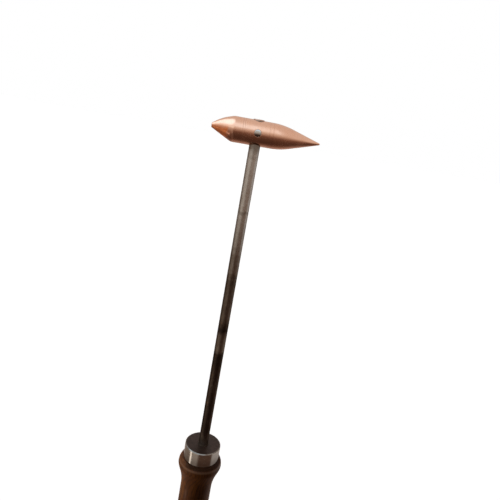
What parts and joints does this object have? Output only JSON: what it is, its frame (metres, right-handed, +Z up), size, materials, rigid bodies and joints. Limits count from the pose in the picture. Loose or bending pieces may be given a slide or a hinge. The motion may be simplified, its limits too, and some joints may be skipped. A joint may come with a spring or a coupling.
{
  "type": "soldering copper",
  "caption": "Hammer-pattern soldering copper: a double-ended pointed copper bit cross-pinned to a long round steel shank, with a steel cap ferrule and a turned wooden handle.",
  "frame": {"origin": "centre of the flat butt of the handle", "axes": "+Z up the shank from the handle to the copper bit, +X along the bit to its long sharp point, -Y to the front"},
  "size_m": [0.0781, 0.036, 0.3994],
  "materials": {
    "walnut": "gloss",
    "turned_steel": "satin",
    "black_steel": "satin",
    "copper": "satin",
    "pin_steel": "satin"
  },
  "bodies": {
    "root": {"handle": "walnut", "ferrule": "turned_steel", "shank": "black_steel", "copper_bit": "copper", "bit_pin": "pin_steel"}
  },
  "joints": []
}
